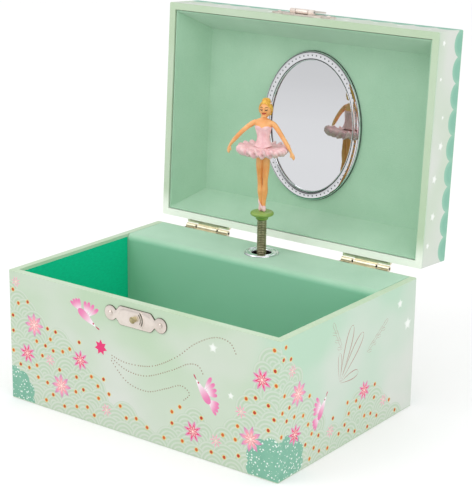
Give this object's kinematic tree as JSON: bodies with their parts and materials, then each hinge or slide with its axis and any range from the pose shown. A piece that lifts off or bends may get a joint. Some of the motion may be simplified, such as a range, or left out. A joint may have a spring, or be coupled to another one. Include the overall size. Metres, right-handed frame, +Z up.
{
  "type": "ballerina jewellery box",
  "caption": "Hinged jewellery box lined in mint flock, with a mirror in the lid, a spring-mounted dancer that turns and folds, and a clockwork music movement.",
  "frame": {"origin": "centre of the base's underside", "axes": "+Z up, -Y towards the front with the latch, +X to the right seen from the front; at rest the lid stands open"},
  "size_m": [0.16, 0.149, 0.1849],
  "materials": {
    "board": "grey board, bare",
    "printed_paper": "printed paper, light sheen",
    "bottom_paper": "plain paper, matt",
    "mint_flock": "short flock, matt",
    "emerald_card": "dyed card, matt",
    "pad_cloth": "flocked cloth over wadding",
    "card": "bent card, bare",
    "chrome": "bright plate",
    "nickel": "nickel-plated pressed steel",
    "mirror": "silvered glass",
    "green_plastic": "moulded, satin",
    "skin_plastic": "moulded and painted, satin",
    "pink_plastic": "moulded and painted, satin",
    "spring_wire": "drawn wire",
    "steel": "bright steel",
    "brass": "machined brass",
    "cast_zinc": "die-cast zinc, satin",
    "white_nylon": "moulded nylon"
  },
  "bodies": {
    "root": {"base_floor": "board", "base_front": "board", "base_rear": "board", "base_left": "board", "base_right": "board", "base_wrap": "printed_paper", "base_bottom_sheet": "bottom_paper", "compartment_lining": "emerald_card", "floor_pad": "pad_cloth", "platform_card": "card", "platform_lining": "mint_flock", "grommet": "chrome", "hinge_left_base_leaf": "nickel", "hinge_left_pin": "steel", "hinge_right_base_leaf": "nickel", "hinge_right_pin": "steel", "latch_base_plate": "nickel", "latch_base_nail_left": "nickel", "latch_base_nail_right": "nickel", "bedplate": "cast_zinc", "click_spring": "steel", "spindle_bracket": "steel", "drum_bracket_left": "steel", "drum_bracket_right": "steel", "comb": "steel", "comb_block": "cast_zinc", "comb_screw_left": "steel", "comb_screw_right": "steel", "governor_bracket": "steel"},
    "lid": {"lid_front": "board", "lid_rear": "board", "lid_left": "board", "lid_right": "board", "lid_top_board": "board", "lid_wrap": "printed_paper", "lid_top_sheet": "printed_paper", "lid_lining": "mint_flock", "mirror_glass": "mirror", "mirror_frame": "chrome", "hinge_left_lid_leaf": "nickel", "hinge_right_lid_leaf": "nickel", "latch_lid_plate": "nickel", "latch_pin": "steel", "latch_lid_nail_left": "nickel", "latch_lid_nail_right": "nickel"},
    "catch_flap": {"latch_flap": "nickel"},
    "spring_tilt": {"dancer_spring": "spring_wire"},
    "ballerina": {"figure_stand": "green_plastic", "figure_legs": "skin_plastic", "figure_skirt": "pink_plastic", "figure_upper": "skin_plastic"},
    "great_wheel": {"spring_barrel": "brass", "barrel_cap": "brass", "mainspring": "steel"},
    "winding_key": {"winding_arbor": "steel", "winding_key": "cast_zinc"},
    "spindle": {"spindle": "brass"},
    "drum": {"drum": "brass"},
    "idler": {"idler": "brass"},
    "worm_fan": {"governor_worm": "white_nylon"}
  },
  "joints": [
    {"name": "lid_hinge", "type": "hinge", "parent": "root", "child": "lid", "pos_m": [0, 0.0598, 0.06565], "axis": [1, 0, 0], "range_deg": [0, 93.2]},
    {"name": "latch_flap_hinge", "type": "hinge", "parent": "lid", "child": "catch_flap", "pos_m": [0, 0.07156, 0.18368], "axis": [1, 0, 0], "range_deg": [0, 184]},
    {"name": "ballerina_fold", "type": "hinge", "parent": "root", "child": "spring_tilt", "pos_m": [-0.002, 0.04305, 0.075], "axis": [1, 0, 0], "range_deg": [0, 104], "deforming": ["dancer_spring"]},
    {"name": "train_run", "type": "hinge", "parent": "root", "child": "great_wheel", "pos_m": [-0.002, 0.0475, 0.029], "axis": [0, -1, 0], "continuous": true},
    {"name": "key_wind", "type": "hinge", "parent": "root", "child": "winding_key", "pos_m": [-0.002, 0.0475, 0.029], "axis": [0, -1, 0], "range_deg": [0, 1890], "deforming": ["click_spring", "mainspring"]},
    {"name": "spindle_spin", "type": "hinge", "parent": "root", "child": "spindle", "pos_m": [-0.002, 0.04305, 0.05], "axis": [0, 0, 1], "continuous": true},
    {"name": "ballerina_spin", "type": "hinge", "parent": "spring_tilt", "child": "ballerina", "pos_m": [-0.002, 0.04305, 0.0873], "axis": [0, 0, 1], "continuous": true},
    {"name": "drum_turn", "type": "hinge", "parent": "root", "child": "drum", "pos_m": [0.024, 0.04305, 0.029], "axis": [1, 0, 0], "continuous": true},
    {"name": "idler_turn", "type": "hinge", "parent": "root", "child": "idler", "pos_m": [0.0395, 0.04305, 0.0386], "axis": [1, 0, 0], "continuous": true},
    {"name": "worm_turn", "type": "hinge", "parent": "root", "child": "worm_fan", "pos_m": [0.0407, 0.0431, 0.045], "axis": [0, 1, 0], "continuous": true}
  ],
  "couplings": [
    {"joint": "ballerina_fold", "follows": "lid_hinge", "ratio": 1.1158},
    {"joint": "spindle_spin", "follows": "train_run", "ratio": 5},
    {"joint": "ballerina_spin", "follows": "train_run", "ratio": 5},
    {"joint": "drum_turn", "follows": "train_run", "ratio": 5},
    {"joint": "idler_turn", "follows": "train_run", "ratio": -15},
    {"joint": "worm_turn", "follows": "train_run", "ratio": -240}
  ]
}
